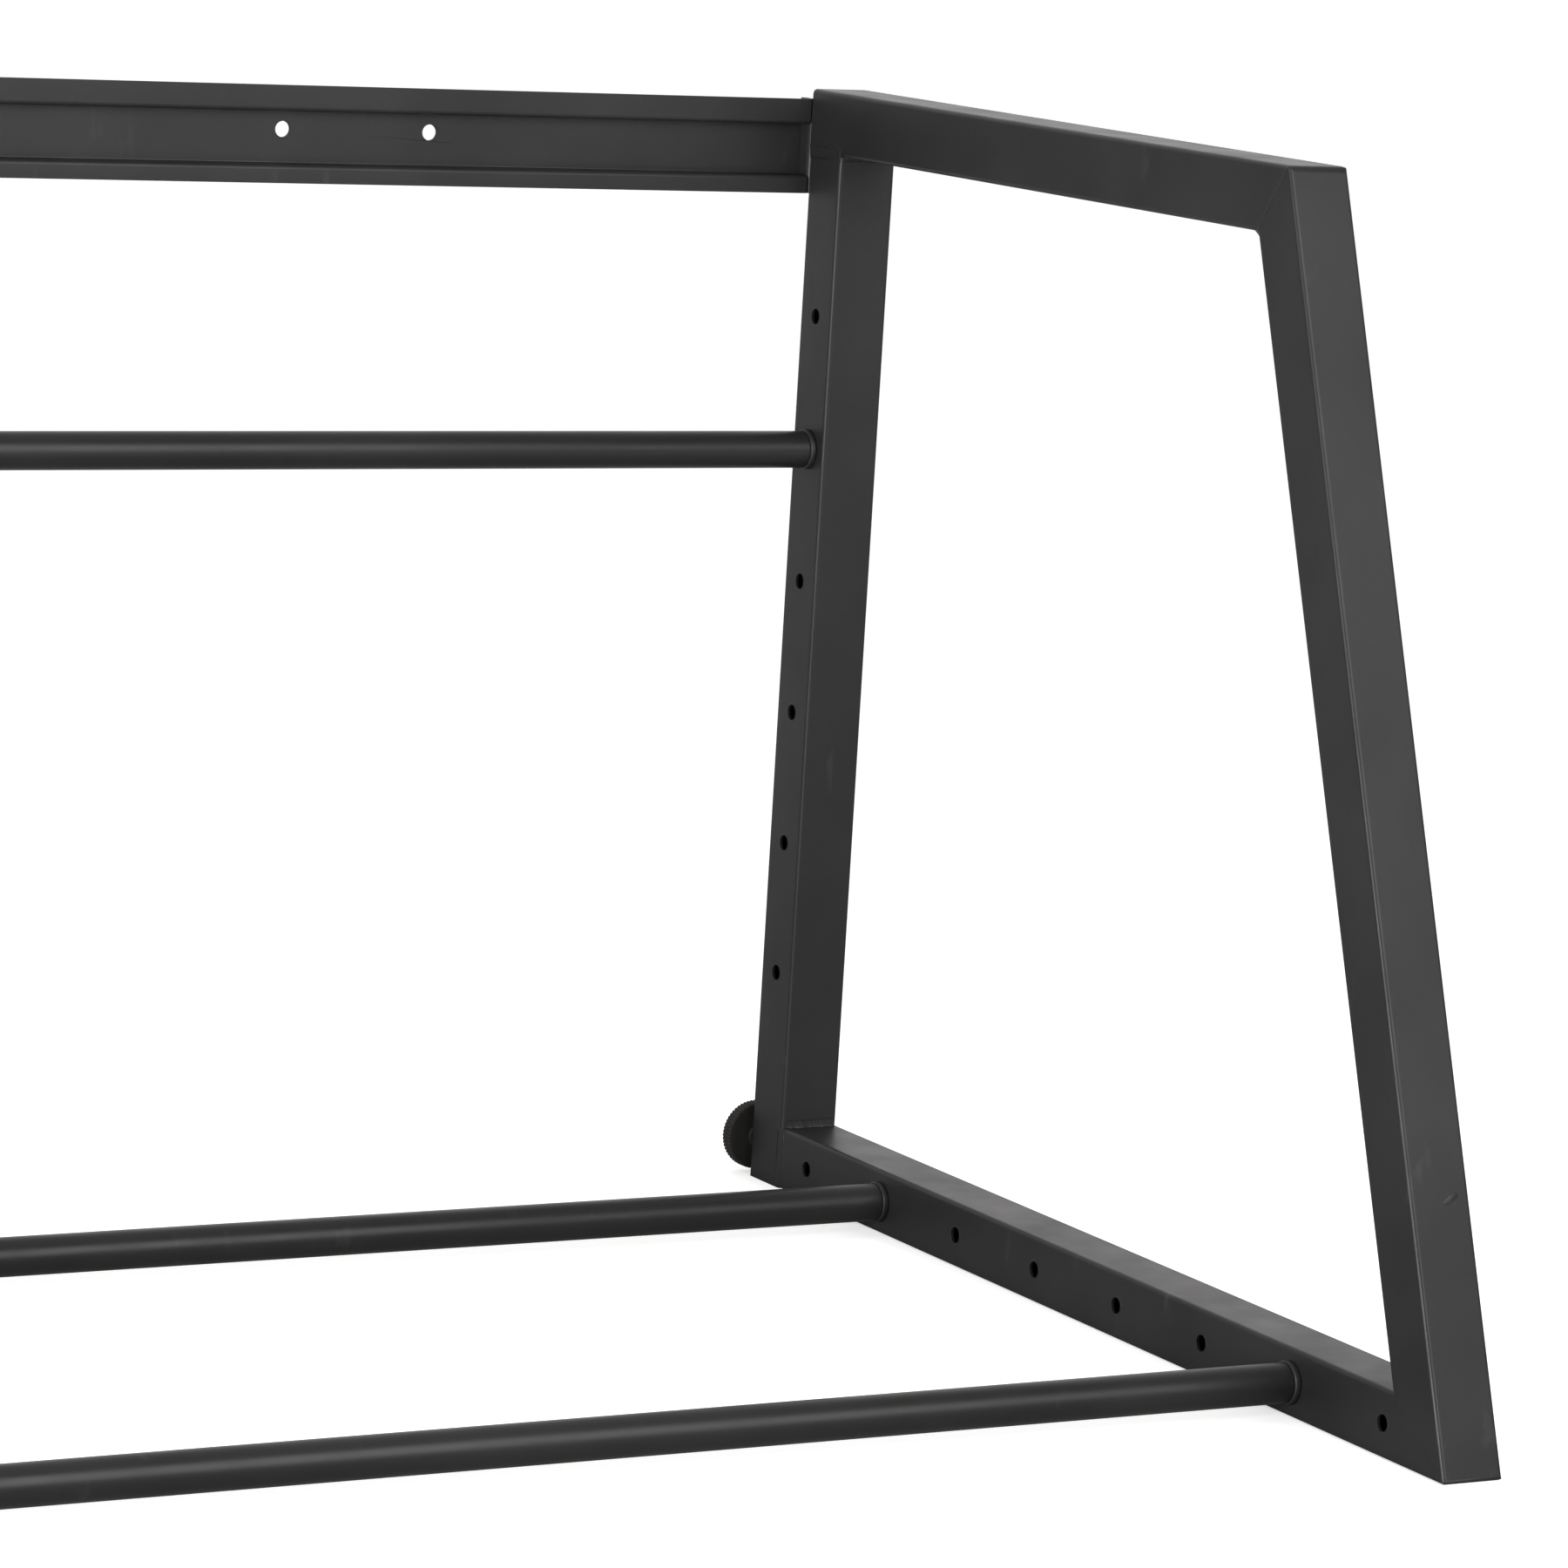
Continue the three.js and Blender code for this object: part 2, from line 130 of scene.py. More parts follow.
SEAM = {
    "side_width": 9 * MM,
    "rear_width": 4 * MM,
    "end_gap": 1 * MM,
    "shift": 1.2 * MM,  # of a side seam's middle, off the line of its joint
}

# ---- camera ---------------------------------------------------------------------------------------

CAMERA_PLACE = Vector((-1.6149, -3.6143, 1.0100))
CAMERA_HEADING = 29.54  # degrees from +Y towards +X
CAMERA_TILT = 9.04  # degrees below the horizon
CAMERA_ROLL = 3.43  # degrees, the right-hand side up
CAMERA_LENS = 157.34  # millimetres on a 36 mm sensor

# ---- floor and light ------------------------------------------------------------------------------

RACK_MIDDLE = (0.4, 0, 0.35)
FLOOR_RADIUS = 45
FLOOR_SEEN = {"colour": (0.86, 0.86, 0.855), "glow": 0.52}
# the floor as the rack's reflections see it: the near colour is a painted shadow round the rack, fading
# out to the far colour
FLOOR_REFLECTED = {"painted_shadow_near": (0.38, 0.38, 0.38), "far": (0.92, 0.915, 0.91), "fade": (0.5, 2.1)}
WORLD = {
    "bright_side": (0.3, 0.93, 0.22),
    "fade": (0.4, 1.0),
    "dim": 0.28,
    "bright": 1.20,
    "colour": (1, 0.98, 0.975),
}
LIGHTS = {
    "overhead": {
        "kind": "SUN",
        "power": 0.5,
        "place": (0, 0, 5),
        "target": (0, 0, 0),
        "size": math.radians(50),
    },
    "left_softbox": {
        "kind": "AREA",
        "power": 275,
        "place": (-4.2, -2.4, 0.9),
        "target": RACK_MIDDLE,
        "size": 1.8,
    },
    "front_softbox": {
        "kind": "AREA",
        "power": 90,
        "place": (1.1, -2.8, 1.75),
        "target": RACK_MIDDLE,
        "size": 2.4,
    },
}


def clear_scene():
    for obj in list(bpy.data.objects):
        bpy.data.objects.remove(obj)


clear_scene()
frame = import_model()

# ---- shader helpers -------------------------------------------------------------------------------


class Shader:
    """A material's node tree, with short calls for the nodes that the finishes share."""

    def __init__(self, name, metallic=0.0, specular=0.5):
        self.material = bpy.data.materials.new(name)
        self.material.use_nodes = True
        self.tree = self.material.node_tree
        self.surface = self.tree.nodes["Principled BSDF"]
        self.surface.inputs["Metallic"].default_value = metallic
        self.surface.inputs["Specular IOR Level"].default_value = specular
        self.place = self.tree.nodes.new("ShaderNodeTexCoord").outputs["Object"]

    def link(self, source, target):
        self.tree.links.new(source, target)

    def noise(self, scale, detail=2.0, stretch=(1, 1, 1)):
        """Noise from 0 to 1 whose grains are about 1/scale metres wide, longer along a small stretch."""
        mapping = self.tree.nodes.new("ShaderNodeMapping")
        mapping.inputs["Scale"].default_value = stretch
        texture = self.tree.nodes.new("ShaderNodeTexNoise")
        texture.inputs["Scale"].default_value = scale
        texture.inputs["Detail"].default_value = detail
        self.link(self.place, mapping.inputs["Vector"])
        self.link(mapping.outputs["Vector"], texture.inputs["Vector"])
        return texture.outputs["Fac"]

    def remap(self, value, low, high, to_low, to_high):
        node = self.tree.nodes.new("ShaderNodeMapRange")
        limits = (low, high, to_low, to_high)
        for name, limit in zip(("From Min", "From Max", "To Min", "To Max"), limits):
            node.inputs[name].default_value = limit
        self.link(value, node.inputs["Value"])
        return node.outputs["Result"]

    def mix(self, factor, first, second):
        """A colour between two, each given as a tuple or as the output of another node."""
        node = self.tree.nodes.new("ShaderNodeMix")
        node.data_type = "RGBA"
        self.link(factor, node.inputs["Factor"])
        for socket, colour in (("A_Color", first), ("B_Color", second)):
            target = next(s for s in node.inputs if s.identifier == socket)
            if isinstance(colour, tuple):
                target.default_value = (*colour, 1.0)
            else:
                self.link(colour, target)
        return next(s for s in node.outputs if s.identifier == "Result_Color")

    def radius(self):
        """Distance from the object's own Y axis."""
        flat = self.tree.nodes.new("ShaderNodeVectorMath")
        flat.operation = "MULTIPLY"
        flat.inputs[1].default_value = (1, 0, 1)
        length = self.tree.nodes.new("ShaderNodeVectorMath")
        length.operation = "LENGTH"
        self.link(self.place, flat.inputs[0])
        self.link(flat.outputs["Vector"], length.inputs[0])
        return length.outputs["Value"]

    def bumps(self, layers):
        """Adds bump layers, each (height, depth in metres), one on top of the other."""
        normal = None
        for height, depth in layers:
            bump = self.tree.nodes.new("ShaderNodeBump")
            bump.inputs["Strength"].default_value = 1.0
            bump.inputs["Distance"].default_value = depth
            self.link(height, bump.inputs["Height"])
            if normal is not None:
                self.link(normal, bump.inputs["Normal"])
            normal = bump.outputs["Normal"]
        self.link(normal, self.surface.inputs["Normal"])

    def colour(self, source):
        self.link(source, self.surface.inputs["Base Color"])

    def roughness(self, source):
        self.link(source, self.surface.inputs["Roughness"])


# ---- finishes -------------------------------------------------------------------------------------


def powder_coat(name, dark, light, smooth, rough, specular):
    """Satin black powder coat: orange peel, a fine grain, cloudy sheen and a few faint rub marks."""
    shader = Shader(name, specular=specular)
    cloud = shader.noise(9, detail=4)
    coat = shader.mix(shader.remap(cloud, 0.35, 0.65, 0, 1), dark, light)
    rub = shader.noise(55, detail=6, stretch=(1, 1, 0.25))
    rubbed = tuple(channel * 2.2 for channel in light)
    shader.colour(shader.mix(shader.remap(rub, 0.66, 0.78, 0, 0.5), coat, rubbed))
    shader.roughness(shader.remap(shader.noise(23, detail=5), 0.3, 0.7, smooth, rough))
    peel = shader.noise(520, detail=1)
    grain = shader.noise(2600, detail=2)
    shader.bumps([(peel, 0.03 * MM), (grain, 0.012 * MM)])
    return shader.material


def moulded_plastic(name, colour, roughness):
    """Injection-moulded plastic with a fine spark-eroded texture."""
    shader = Shader(name, specular=0.4)
    lighter = tuple(channel * 1.5 for channel in colour)
    shader.colour(shader.mix(shader.noise(60, detail=4), colour, lighter))
    shader.roughness(shader.remap(shader.noise(140), 0.3, 0.7, roughness - 0.06, roughness + 0.08))
    shader.bumps([(shader.noise(3200, detail=2), 0.02 * MM)])
    return shader.material


def dusty_rubber(name, colour, dust, dust_from, dust_to):
    """Black rubber, with pale brown dust that gathers from one radius to another."""
    shader = Shader(name, specular=0.2)
    speck = shader.remap(shader.noise(900, detail=4), 0.35, 0.65, 0.35, 1)
    rim = shader.remap(shader.radius(), dust_from, dust_to, 0, 1)
    amount = shader.tree.nodes.new("ShaderNodeMath")
    amount.operation = "MULTIPLY"
    shader.link(speck, amount.inputs[0])
    shader.link(rim, amount.inputs[1])
    shader.colour(shader.mix(amount.outputs["Value"], colour, dust))
    shader.roughness(shader.remap(shader.noise(80), 0.3, 0.7, 0.62, 0.8))
    shader.bumps([(shader.noise(1500, detail=3), 0.03 * MM)])
    return shader.material


def metal(name, dark, light, smooth, rough):
    """Plated or blackened steel with a cloudy finish and fine handling marks."""
    shader = Shader(name, metallic=1.0)
    shader.colour(shader.mix(shader.noise(180, detail=5), dark, light))
    shader.roughness(shader.remap(shader.noise(420, detail=4), 0.3, 0.7, smooth, rough))
    shader.bumps([(shader.noise(2200, detail=3), 0.008 * MM)])
    return shader.material


FINISHES = {
    "frame_powder_coat": powder_coat(
        "frame_powder_coat", (0.0150, 0.0150, 0.0150), (0.0200, 0.0200, 0.0200), 0.34, 0.43, 0.21
    ),
    "bar_powder_coat": powder_coat(
        "bar_powder_coat", (0.0120, 0.0120, 0.0118), (0.0160, 0.0160, 0.0158), 0.34, 0.42, 0.25
    ),
    "black_plastic": moulded_plastic("black_plastic", (0.010, 0.010, 0.010), 0.5),
    "ribbed_rubber": dusty_rubber(
        "ribbed_rubber", (0.010, 0.010, 0.009), (0.026, 0.023, 0.018), 22.0 * MM, 23.0 * MM
    ),
    "black_steel": metal("black_steel", (0.014, 0.014, 0.014), (0.030, 0.030, 0.030), 0.42, 0.56),
    "zinc_steel": metal("zinc_steel", (0.42, 0.43, 0.45), (0.60, 0.61, 0.62), 0.26, 0.42),
}

# ---- pieces ---------------------------------------------------------------------------------------


def add_piece(name, bm, slot, body=FRAME_BODY, stands_for=(), place=None):
    """Turns a bmesh into a smooth-shaded piece that rides on a body. Its sharp edges stay crisp."""
    bmesh.ops.recalc_face_normals(bm, faces=bm.faces)
    mesh = bpy.data.meshes.new(name)
    bm.to_mesh(mesh)
    bm.free()
    mesh.shade_smooth()
    obj = bpy.data.objects.new(name, mesh)
    obj.matrix_world = place or Matrix.Identity(4)
    bpy.context.scene.collection.objects.link(obj)
    mesh.materials.append(FINISHES[slot])
    weighted = obj.modifiers.new("flat faces stay flat", "WEIGHTED_NORMAL")
    weighted.weight = 80
    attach(obj, body)
    if stands_for:
        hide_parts(*stands_for)


def round_edges(bm, width, sharper_than=40, segments=2):
    """Rounds every edge whose faces meet at more than sharper_than degrees."""
    limit = math.radians(sharper_than)
    edges = [e for e in bm.edges if e.is_manifold and e.calc_face_angle(0) > limit]
    bmesh.ops.bevel(
        bm,
        geom=edges,
        offset=width,
        offset_type="OFFSET",
        segments=segments,
        profile=0.5,
        affect="EDGES",
        clamp_overlap=True,
    )


def cad_bmesh(node):
    """A CAD node's own surface, with its triangles merged back into flat faces."""
    bm = bmesh.new()
    bm.from_mesh(frame["nodes"][node].data)
    bmesh.ops.remove_doubles(bm, verts=bm.verts, dist=0.01 * MM)
    bmesh.ops.dissolve_limit(bm, angle_limit=math.radians(1), verts=bm.verts, edges=bm.edges)
    return bm


def split_between(bm, holes, axis):
    """Splits the faces between neighbouring holes along an axis, so that no face has two holes in it."""
    ordered = sorted(holes)
    ends = [ordered[0] - HOLE_CLEARANCE, ordered[-1] + HOLE_CLEARANCE]
    for place in ends + [(low + high) / 2 for low, high in zip(ordered, ordered[1:])]:
        geometry = [*bm.verts, *bm.edges, *bm.faces]
        bmesh.ops.bisect_plane(bm, geom=geometry, plane_co=axis * place, plane_no=axis)


def skin(node, slot, edge, ground_corners=(), holes=(), holes_along=None):
    """The CAD node with its edges rounded, standing for the node."""
    bm = cad_bmesh(node)
    if holes:
        split_between(bm, holes, holes_along)
    for corner in ground_corners:
        corner.grind(bm)
    round_edges(bm, edge)
    add_piece(f"{node}_skin", bm, slot, stands_for=[node])


def turned_bmesh(profile, segments):
    """A solid of revolution about Z from (radius, height) pairs, in order from one end to the other.

    A profile that starts away from the axis closes on itself, and leaves a bore.
    """
    bm = bmesh.new()
    rings = []
    for radius, height in profile:
        if radius == 0:
            rings.append([bm.verts.new((0, 0, height))] * segments)
            continue
        angles = (math.tau * i / segments for i in range(segments))
        points = ((radius * math.cos(a), radius * math.sin(a), height) for a in angles)
        rings.append([bm.verts.new(point) for point in points])
    closed = profile[0][0] > 0
    pairs = list(zip(rings, rings[1:])) + ([(rings[-1], rings[0])] if closed else [])
    for lower, upper in pairs:
        for i in range(segments):
            j = (i + 1) % segments
            # On the axis a ring is one vertex, so its repeats are dropped and the face is a triangle.
            corners = dict.fromkeys((lower[i], lower[j], upper[j], upper[i]))
            bm.faces.new(corners)
    return bm


def aim(place, direction):
    """Places a shape made about Z at a point, with its Z turned to a direction."""
    turn = Vector(direction).to_track_quat("Z", "Y").to_matrix().to_4x4()
    return Matrix.Translation(place) @ turn


def prism_bmesh(radius, sides, low, high):
    """A regular prism about Z, from one height to another."""
    bm = bmesh.new()
    bmesh.ops.create_cone(
        bm,
        cap_ends=True,
        segments=sides,
        radius1=radius,
        radius2=radius,
        depth=high - low,
        matrix=Matrix.Translation((0, 0, (low + high) / 2)),
    )
    return bm


def combine(first, second, operation):
    """The boolean of two closed bmeshes, as a new bmesh."""
    objects = []
    for bm in (first, second):
        mesh = bpy.data.meshes.new("boolean")
        bm.to_mesh(mesh)
        bm.free()
        obj = bpy.data.objects.new("boolean", mesh)
        bpy.context.scene.collection.objects.link(obj)
        objects.append(obj)
    modifier = objects[0].modifiers.new("boolean", "BOOLEAN")
    modifier.operation = operation
    modifier.object = objects[1]
    modifier.solver = "EXACT"
    evaluated = objects[0].evaluated_get(bpy.context.evaluated_depsgraph_get())
    result = bmesh.new()
    result.from_mesh(evaluated.to_mesh())
    for obj in objects:
        bpy.data.meshes.remove(obj.data)
    return result


# ---- tubes, rail and brackets ---------------------------------------------------------------------


class MitreCorner:
    """The outer corner of a mitre: an edge along X, ground round after welding."""

    def __init__(self, edge, directions, radius):
        """edge is a point on the sharp corner. directions are the outward normals of its two faces."""
        self.radius = radius
        first, second = (Vector(d).normalized() for d in directions)
        self.bisector = (first + second).normalized()
        self.half_angle = first.angle(self.bisector)
        self.centre = Vector(edge) - self.bisector * radius / math.cos(self.half_angle)
        self.first = first
        self.axis = first.cross(second).normalized()

    def grind(self, bm, facets=5):
        """Cuts the corner off along planes that touch the round, and closes each cut."""
        for i in range(facets):
            turn = 2 * self.half_angle * (i + 1) / (facets + 1)
            normal = Matrix.Rotation(turn, 3, self.axis) @ self.first
            cut = bmesh.ops.bisect_plane(
                bm,
                geom=[*bm.verts, *bm.edges, *bm.faces],
                plane_co=self.centre + normal * self.radius,
                plane_no=normal,
                clear_outer=True,
            )
            rim = [item for item in cut["geom_cut"] if isinstance(item, bmesh.types.BMEdge)]
            if rim:
                bmesh.ops.holes_fill(bm, edges=rim, sides=0)

    def pull_in(self, point, proud):
        """The point, brought down to the round where it stands more than proud above it."""
        offset = Vector((0, point.y - self.centre.y, point.z - self.centre.z))
        most = self.radius + proud
        if offset.length <= most or offset.angle(self.bisector) > self.half_angle:
            return point
        return Vector((point.x, self.centre.y, self.centre.z)) + offset * most / offset.length


def mitre_corners(side):
    """The brow's and the toe's outer corners on one end frame."""
    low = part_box(f"{side}_front_leg")[0]
    top_low, top_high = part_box(f"{side}_top_rail")
    toe, brow = Vector((0, low.y, 0)), Vector((0, top_low.y, top_high.z))
    up_leg = (brow - toe).normalized()
    front = Vector((0, -up_leg.z, up_leg.y))
    return {
        "brow": MitreCorner(brow, (front, (0, 0, 1)), MITRE_RADIUS["brow"]),
        "toe": MitreCorner(toe, ((0, 0, -1), front), MITRE_RADIUS["toe"]),
    }


def hole_places(row, open_only=False):
    """How far along its tube each hole of a row is, with or without the holes that a bar closes."""
    closed = row["with_bar"] if open_only else ()
    return [row["first"] + i * row["pitch"] for i in range(row["count"]) if i not in closed]


def rail_hole_places():
    """X of each hole in the rear rail's web."""
    return [sign * x for sign in SIDES.values() for x in RAIL_HOLES["x"]]


def add_tubes():
    up, back = Vector((0, 0, 1)), Vector((0, 1, 0))
    for side in SIDES:
        corners = mitre_corners(side)
        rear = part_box(f"{side}_rear_leg")[1].y
        holes = {
            "rear_leg": (hole_places(LEG_HOLES), up),
            "bottom_rail": ([rear - depth for depth in hole_places(BASE_HOLES)], back),
        }
        for tube, names in TUBE_MITRES.items():
            places, along = holes.get(tube, ((), None))
            skin(
                f"{side}_{tube}",
                "frame_powder_coat",
                ROUNDED["tube"],
                ground_corners=[corners[name] for name in names],
                holes=places,
                holes_along=along,
            )
        skin(f"{side}_rail_bracket", "frame_powder_coat", ROUNDED["rail_bracket"])
        skin(f"{side}_foot_plug", "black_plastic", ROUNDED["foot_plug"])
        skin(f"{side}_top_rail_plug", "black_steel", ROUNDED["top_rail_plug"])
        skin(f"{side}_weld_nut", "zinc_steel", ROUNDED["weld_nut"])
    skin(
        "rear_rail",
        "frame_powder_coat",
        ROUNDED["rear_rail"],
        holes=rail_hole_places(),
        holes_along=Vector((1, 0, 0)),
    )


def hole_rims(name, places, normal):
    """The slightly raised bead that the coating forms round each drilled hole."""
    half_width = 0.45 * MM
    height = 0.16 * MM
    root = 0.4 * MM
    middle = HOLE_RADIUS + 0.2 * MM
    steps = 6
    arc = [math.pi * i / steps for i in range(steps + 1)]
    profile = [(middle - half_width * math.cos(a), height * math.sin(a)) for a in arc]
    profile += [(middle + half_width, -root), (middle - half_width, -root)]
    whole = bmesh.new()
    for place in places:
        ring = turned_bmesh(profile, 40)
        bmesh.ops.transform(ring, matrix=aim(place, normal), verts=ring.verts)
        scratch = bpy.data.meshes.new("ring")
        ring.to_mesh(scratch)
        ring.free()
        whole.from_mesh(scratch)
        bpy.data.meshes.remove(scratch)
    add_piece(name, whole, "frame_powder_coat")


def add_hole_rims():
    for side in SIDES:
        low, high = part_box(f"{side}_rear_leg")
        middle_y = (low.y + high.y) / 2
        base_z = TUBE / 2
        for face, x, out in (("low", low.x, -1), ("high", high.x, 1)):
            leg = [(x, middle_y, z) for z in hole_places(LEG_HOLES, open_only=True)]
            base = [(x, high.y - depth, base_z) for depth in hole_places(BASE_HOLES, open_only=True)]
            hole_rims(f"{side}_rear_leg_hole_rims_{face}", leg, (out, 0, 0))
            hole_rims(f"{side}_bottom_rail_hole_rims_{face}", base, (out, 0, 0))
    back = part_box("rear_rail")[1].y
    for face, y, out in (("front", back - RAIL_HOLES["sheet"], -1), ("back", back, 1)):
        places = [(x, y, RAIL_HOLES["z"]) for x in rail_hole_places()]
        hole_rims(f"rear_rail_hole_rims_{face}", places, (0, out, 0))


# ---- welds ----------------------------------------------------------------------------------------


def wobble(value, seed, scale):
    """Smooth repeatable noise from about -1 to 1."""
    return noise.noise(Vector((value * scale, seed, 0.5 * seed)))


def strip_bmesh(sections):
    """A closed solid through a list of sections, each the same number of points in order."""
    bm = bmesh.new()
    rings = [[bm.verts.new(point) for point in section] for section in sections]
    for before, after in zip(rings, rings[1:]):
        for i in range(len(before)):
            j = (i + 1) % len(before)
            bm.faces.new((before[i], before[j], after[j], after[i]))
    bm.faces.new(rings[0])
    bm.faces.new(reversed(rings[-1]))
    return bm


def fillet_weld(name, corner, along, length, up, out, leg, hollow, seed):
    """A rippled bead in an inside corner. up and out point away from the corner along its two faces."""
    corner, along, up, out = (Vector(v) for v in (corner, along, up, out))
    along, up, out = along.normalized(), up.normalized(), out.normalized()
    crown = (up + out).normalized()
    root = 0.4 * MM
    ripple_pitch, ripple_height, ripple_bow = 1.7 * MM, 0.16 * MM, 0.8 * MM
    end_taper = 4.5
    steps = max(24, round(length / (0.3 * MM)))
    around = 10
    sections = []
    for i in range(steps + 1):
        share = i / steps
        travel = (share - 0.5) * length
        end = min(1.0, end_taper * math.sin(math.pi * min(max(share, 0.004), 0.996)))
        uneven = 0.16 * wobble(travel, seed, 190) + 0.08 * wobble(travel, seed + 5, 700)
        size = leg * end * (1 + uneven)
        section = [corner - crown * root + along * travel]
        for j in range(around + 1):
            angle = math.pi / 2 * j / around
            rise, run = math.cos(angle) ** hollow, math.sin(angle) ** hollow
            bulge = math.sin(math.pi * j / around)
            wave = abs(math.sin(math.pi * (travel - ripple_bow * bulge) / ripple_pitch))
            lift = ripple_height * end * wave * bulge
            section.append(corner + along * travel + up * size * rise + out * size * run + crown * lift)
        sections.append(section)
    add_piece(name, strip_bmesh(sections), "frame_powder_coat")


def ground_weld(name, centre, along, length, normal, width, seed):
    """A weld ground flush with two faces in one plane: a low band that fills the groove between them."""
    centre, along, normal = Vector(centre), Vector(along).normalized(), Vector(normal).normalized()
    across = normal.cross(along)
    depth, height = 2.5 * MM, 0.12 * MM
    # (across, up), as shares of half the width and of the height
    profile = ((-1, 0), (-0.55, 0.75), (0, 1), (0.55, 0.75), (1, 0))
    root = (0.9, -0.9)
    steps = max(12, round(length / (0.8 * MM)))
    sections = []
    for i in range(steps + 1):
        travel = (i / steps - 0.5) * length
        half = width / 2 * (1 + 0.14 * wobble(travel, seed, 160))
        lift = height * (1 + 0.7 * wobble(travel, seed + 3, 330))
        line = centre + along * travel
        section = [line + across * half * s + normal * lift * h for s, h in profile]
        section += [line + across * half * s - normal * depth for s in root]
        sections.append(section)
    add_piece(name, strip_bmesh(sections), "frame_powder_coat")


def rounded_square(half, radius, steps=6):
    """Points round a square with rounded corners, each (across, inward, normal across, normal inward)."""
    points = []
    for corner in range(4):
        middle = (corner + 0.5) * math.pi / 2
        centre = [math.copysign(half - radius, f(middle)) for f in (math.cos, math.sin)]
        for step in range(steps + 1):
            angle = (corner + step / steps) * math.pi / 2
            nx, ny = math.cos(angle), math.sin(angle)
            points.append((centre[0] + radius * nx, centre[1] + radius * ny, nx, ny))
    return points


def mitre_weld(name, corner, centre, into_first, into_second, seed):
    """The ground weld round a mitre between two square tubes whose directions point away from it."""
    first, second = Vector(into_first).normalized(), Vector(into_second).normalized()
    inner = (first + second).normalized()
    across = Vector((1, 0, 0))
    stretch = 1 / math.sin(first.angle(inner))
    inward = [(inner - d * inner.dot(d)).normalized() for d in (first, second)]
    reach, height, root = 1.3 * MM, 0.10 * MM, 0.8 * MM
    # the most that each point of a section may stand above the rounded corner
    proud = (0.0, height, 1.4 * height, height, 0.0, -root, -root)
    bm = bmesh.new()
    rings = []
    for i, (x, q, nx, nq) in enumerate(rounded_square(TUBE / 2, TUBE_CORNER)):
        point = Vector(centre) + across * x + inner * q * stretch
        normals = [across * nx + direction * nq for direction in inward]
        middle = (normals[0] + normals[1]).normalized()
        lift = height * (1 + 0.8 * wobble(i, seed, 0.9))
        ring = [
            point + first * reach,
            point + first * reach / 2 + normals[0] * lift,
            point + middle * lift * 1.2,
            point + second * reach / 2 + normals[1] * lift,
            point + second * reach,
            point + second * reach - normals[1] * root,
            point + first * reach - normals[0] * root,
        ]
        rings.append([bm.verts.new(corner.pull_in(p, most)) for p, most in zip(ring, proud)])
    for before, after in zip(rings, rings[1:] + rings[:1]):
        for i in range(len(before)):
            j = (i + 1) % len(before)
            bm.faces.new((before[i], before[j], after[j], after[i]))
    add_piece(name, bm, "frame_powder_coat")


def add_welds():
    """The end frames' welds: fillets in the inside corners, ground welds where two faces meet flush."""
    for number, (side, sign) in enumerate(SIDES.items()):
        seed = 11.0 + 40 * number
        leg_low, leg_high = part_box(f"{side}_rear_leg")
        top_low, top_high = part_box(f"{side}_top_rail")
        base_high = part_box(f"{side}_bottom_rail")[1]
        front_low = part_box(f"{side}_front_leg")[0]
        middle = (leg_low.x + leg_high.x) / 2
        flat = TUBE - TUBE_CORNER

        toe = Vector((middle, front_low.y, 0))
        brow = Vector((middle, top_low.y, top_high.z))
        lean = math.atan2(brow.y - toe.y, brow.z - toe.z)
        up_leg = Vector((0, math.sin(lean), math.cos(lean)))
        back = Vector((0, 1, 0))
        half = TUBE / 2
        toe_inner = toe + Vector((0, TUBE / math.tan((math.pi / 2 - lean) / 2), TUBE))
        brow_inner = brow + Vector((0, TUBE / math.tan((math.pi / 2 + lean) / 2), -TUBE))

        across = (1, 0, 0)
        beads = {
            "base": ((middle, leg_low.y, base_high.z), (0, 0, 1), (0, -1, 0)),
            "top": ((middle, leg_low.y, top_low.z), (0, 0, -1), (0, -1, 0)),
            "brow": (brow_inner, back, -up_leg),
            "toe": (toe_inner, back, up_leg),
        }
        for order, (place, (corner, up, out)) in enumerate(beads.items()):
            name = f"{side}_{place}_weld"
            fillet_weld(name, corner, across, flat, up, out, **FILLETS[place], seed=seed + order)
        corners = mitre_corners(side)
        brow_middle, toe_middle = (brow + brow_inner) / 2, (toe + toe_inner) / 2
        mitre_weld(f"{side}_brow_mitre", corners["brow"], brow_middle, back, -up_leg, seed + 4)
        mitre_weld(f"{side}_toe_mitre", corners["toe"], toe_middle, back, up_leg, seed + 5)

        seam_length = TUBE - 2 * SEAM["end_gap"]
        seams = (
            ("base", leg_low.y + SEAM["shift"], base_high.z / 2, (0, 0, 1), seed + 6),
            ("top", (leg_low.y + leg_high.y) / 2, top_low.z + SEAM["shift"], (0, 1, 0), seed + 7),
        )
        for face, out in (("inner", -sign), ("outer", sign)):
            x = middle + out * half
            normal = (out, 0, 0)
            for place, y, z, along, seam_seed in seams:
                name = f"{side}_{place}_seam_{face}"
                ground_weld(name, (x, y, z), along, seam_length, normal, SEAM["side_width"], seam_seed)
        rear = (middle, leg_high.y, top_low.z)
        ground_weld(f"{side}_top_seam_rear", rear, across, flat, back, SEAM["rear_width"], seed + 8)


# ---- bars and their fasteners ---------------------------------------------------------------------


def box_of(node):
    """A node's middle and its lowest and highest corners."""
    low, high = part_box(node)
    return (low + high) / 2, low, high


